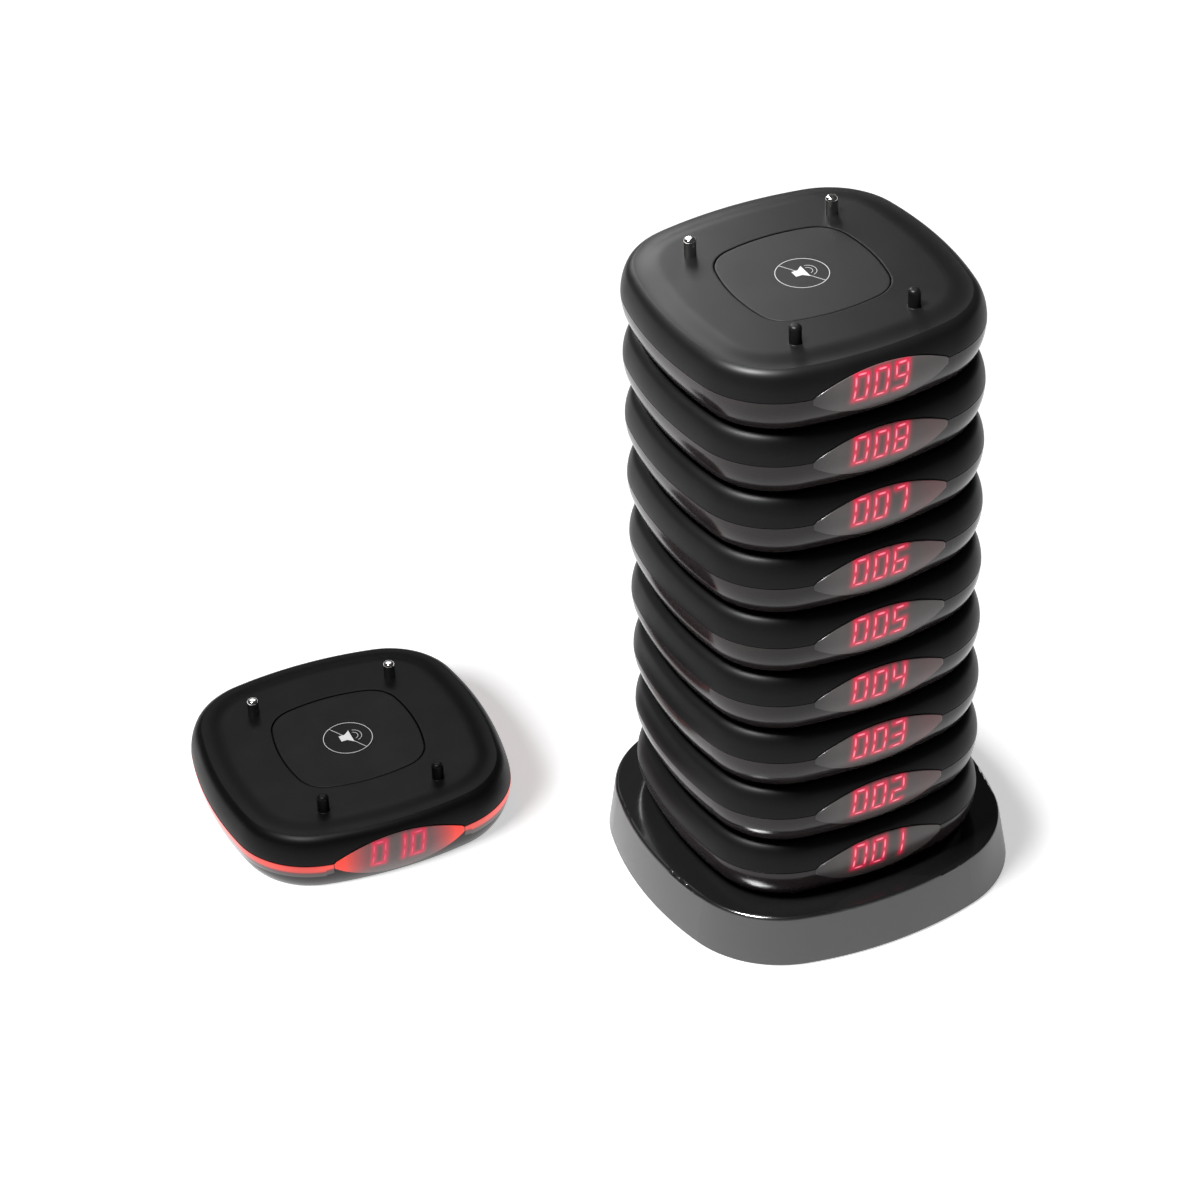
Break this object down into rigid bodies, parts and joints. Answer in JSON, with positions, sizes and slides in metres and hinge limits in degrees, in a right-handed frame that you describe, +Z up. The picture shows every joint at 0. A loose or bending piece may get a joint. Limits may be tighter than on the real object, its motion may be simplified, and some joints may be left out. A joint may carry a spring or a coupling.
{
  "type": "guest pager system",
  "caption": "Stack of rounded square guest pagers with number displays and mute buttons on a charging base, and one lit pager beside it.",
  "frame": {"origin": "centre of the charging base's feet, in the plane that they rest on", "axes": "+Z up the stack; the displays of the stack face -Y; +X to the right as seen from in front of the displays"},
  "size_m": [0.2327, 0.2057, 0.2247],
  "materials": {
    "pager_shell": "fine satin moulded black",
    "smoked_shell": "glossy smoked plastic that the red lights shine through",
    "button_plastic": "fine textured black",
    "print_white": "printed white",
    "digit_glow": "lit red display segment",
    "plated_pin": "bright nickel plate",
    "contact_brass": "plain",
    "board": "green solder mask",
    "display_red": "dark red display housing",
    "clear_guide": "clear polished",
    "cell_foil": "satin foil",
    "motor_steel": "satin",
    "inner_plastic": "plain moulded black",
    "screw_steel": "zinc plated",
    "base_gloss": "polished black top, satin sides",
    "foot_rubber": "matt"
  },
  "bodies": {
    "base": {"base_cover": "base_gloss", "base_bottom_plate": "inner_plastic", "base_feet": "foot_rubber", "base_screws": "screw_steel", "base_circuit_board": "board", "base_charge_pins": "plated_pin", "base_power_inlet": "inner_plastic"},
    "pager_001": {"pager_001_top_shell": "pager_shell", "pager_001_lower_shell": "smoked_shell", "pager_001_electronics": "board"},
    "mute_button_001": {"pager_001_mute_button": "button_plastic"},
    "pager_002": {"pager_002_top_shell": "pager_shell", "pager_002_lower_shell": "smoked_shell", "pager_002_electronics": "board"},
    "mute_button_002": {"pager_002_mute_button": "button_plastic"},
    "pager_003": {"pager_003_top_shell": "pager_shell", "pager_003_lower_shell": "smoked_shell", "pager_003_electronics": "board"},
    "mute_button_003": {"pager_003_mute_button": "button_plastic"},
    "pager_004": {"pager_004_top_shell": "pager_shell", "pager_004_lower_shell": "smoked_shell", "pager_004_electronics": "board"},
    "mute_button_004": {"pager_004_mute_button": "button_plastic"},
    "pager_005": {"pager_005_top_shell": "pager_shell", "pager_005_lower_shell": "smoked_shell", "pager_005_electronics": "board"},
    "mute_button_005": {"pager_005_mute_button": "button_plastic"},
    "pager_006": {"pager_006_top_shell": "pager_shell", "pager_006_lower_shell": "smoked_shell", "pager_006_electronics": "board"},
    "mute_button_006": {"pager_006_mute_button": "button_plastic"},
    "pager_007": {"pager_007_top_shell": "pager_shell", "pager_007_lower_shell": "smoked_shell", "pager_007_electronics": "board"},
    "mute_button_007": {"pager_007_mute_button": "button_plastic"},
    "pager_008": {"pager_008_top_shell": "pager_shell", "pager_008_lower_shell": "smoked_shell", "pager_008_electronics": "board"},
    "mute_button_008": {"pager_008_mute_button": "button_plastic"},
    "pager_009": {"pager_009_top_shell": "pager_shell", "pager_009_lower_shell": "smoked_shell", "pager_009_electronics": "board"},
    "mute_button_009": {"pager_009_mute_button": "button_plastic"},
    "pager_010": {"pager_010_top_shell": "pager_shell", "pager_010_charge_pins": "plated_pin", "pager_010_lower_shell": "smoked_shell", "pager_010_socket_contacts": "contact_brass", "pager_010_circuit_board": "board", "pager_010_display_module": "display_red", "pager_010_light_guide": "clear_guide", "pager_010_indicator_leds": "display_red", "pager_010_battery_cell": "cell_foil", "pager_010_vibration_motor": "motor_steel", "pager_010_buzzer": "inner_plastic", "pager_010_button_switch": "inner_plastic", "pager_010_case_screws": "screw_steel"},
    "mute_button_010": {"pager_010_mute_button": "button_plastic"},
    "motor_weight_010": {"pager_010_motor_weight": "motor_steel"}
  },
  "joints": [
    {"name": "pager_001_lift", "type": "slide", "parent": "base", "child": "pager_001", "axis": [0, 0, 1], "range_m": [0, 0.03]},
    {"name": "mute_button_001_press", "type": "slide", "parent": "pager_001", "child": "mute_button_001", "axis": [0, 0, -1], "range_m": [0, 0.0006], "stiffness_N_per_m": 400, "springref_m": -0.002},
    {"name": "pager_002_lift", "type": "slide", "parent": "pager_001", "child": "pager_002", "axis": [0, 0, 1], "range_m": [0, 0.03]},
    {"name": "mute_button_002_press", "type": "slide", "parent": "pager_002", "child": "mute_button_002", "axis": [0, 0, -1], "range_m": [0, 0.0006], "stiffness_N_per_m": 400, "springref_m": -0.002},
    {"name": "pager_003_lift", "type": "slide", "parent": "pager_002", "child": "pager_003", "axis": [0, 0, 1], "range_m": [0, 0.03]},
    {"name": "mute_button_003_press", "type": "slide", "parent": "pager_003", "child": "mute_button_003", "axis": [0, 0, -1], "range_m": [0, 0.0006], "stiffness_N_per_m": 400, "springref_m": -0.002},
    {"name": "pager_004_lift", "type": "slide", "parent": "pager_003", "child": "pager_004", "axis": [0, 0, 1], "range_m": [0, 0.03]},
    {"name": "mute_button_004_press", "type": "slide", "parent": "pager_004", "child": "mute_button_004", "axis": [0, 0, -1], "range_m": [0, 0.0006], "stiffness_N_per_m": 400, "springref_m": -0.002},
    {"name": "pager_005_lift", "type": "slide", "parent": "pager_004", "child": "pager_005", "axis": [0, 0, 1], "range_m": [0, 0.03]},
    {"name": "mute_button_005_press", "type": "slide", "parent": "pager_005", "child": "mute_button_005", "axis": [0, 0, -1], "range_m": [0, 0.0006], "stiffness_N_per_m": 400, "springref_m": -0.002},
    {"name": "pager_006_lift", "type": "slide", "parent": "pager_005", "child": "pager_006", "axis": [0, 0, 1], "range_m": [0, 0.03]},
    {"name": "mute_button_006_press", "type": "slide", "parent": "pager_006", "child": "mute_button_006", "axis": [0, 0, -1], "range_m": [0, 0.0006], "stiffness_N_per_m": 400, "springref_m": -0.002},
    {"name": "pager_007_lift", "type": "slide", "parent": "pager_006", "child": "pager_007", "axis": [0, 0, 1], "range_m": [0, 0.03]},
    {"name": "mute_button_007_press", "type": "slide", "parent": "pager_007", "child": "mute_button_007", "axis": [0, 0, -1], "range_m": [0, 0.0006], "stiffness_N_per_m": 400, "springref_m": -0.002},
    {"name": "pager_008_lift", "type": "slide", "parent": "pager_007", "child": "pager_008", "axis": [0, 0, 1], "range_m": [0, 0.03]},
    {"name": "mute_button_008_press", "type": "slide", "parent": "pager_008", "child": "mute_button_008", "axis": [0, 0, -1], "range_m": [0, 0.0006], "stiffness_N_per_m": 400, "springref_m": -0.002},
    {"name": "pager_009_lift", "type": "slide", "parent": "pager_008", "child": "pager_009", "axis": [0, 0, 1], "range_m": [0, 0.03]},
    {"name": "mute_button_009_press", "type": "slide", "parent": "pager_009", "child": "mute_button_009", "axis": [0, 0, -1], "range_m": [0, 0.0006], "stiffness_N_per_m": 400, "springref_m": -0.002},
    {"name": "pager_010_lift", "type": "slide", "parent": "base", "child": "pager_010", "axis": [0, 0, 1], "range_m": [0, 0.03]},
    {"name": "mute_button_010_press", "type": "slide", "parent": "pager_010", "child": "mute_button_010", "axis": [0, 0, -1], "range_m": [0, 0.0006], "stiffness_N_per_m": 400, "springref_m": -0.002},
    {"name": "motor_weight_010_spin", "type": "hinge", "parent": "pager_010", "child": "motor_weight_010", "pos_m": [-0.08761, 0.09931, 0.006], "axis": [0.0698, 0.9976, 0], "continuous": true}
  ]
}
